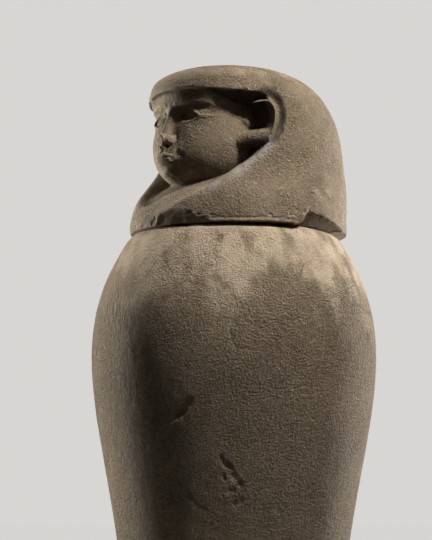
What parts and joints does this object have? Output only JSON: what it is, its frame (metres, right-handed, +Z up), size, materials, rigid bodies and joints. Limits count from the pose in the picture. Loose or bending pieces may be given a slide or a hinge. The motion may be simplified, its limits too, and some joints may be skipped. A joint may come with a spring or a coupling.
{
  "type": "canopic jar",
  "caption": "Hollow stone jar with swelling shoulders and tapering foot, closed by a lift-off lid shaped as a human head in a plain bag wig.",
  "frame": {"origin": "centre of the jar's flat underside", "axes": "+Z up along the jar's axis, -Y the way the face looks, +X to the figure's left"},
  "size_m": [0.2, 0.2, 0.4042],
  "materials": {
    "jar_stone": "matt grey-brown stone with a coarse pitted skin",
    "lid_stone": "matt grey-brown stone, finer and smoother than the jar"
  },
  "bodies": {
    "root": {"jar": "jar_stone", "lid": "lid_stone"}
  },
  "joints": []
}
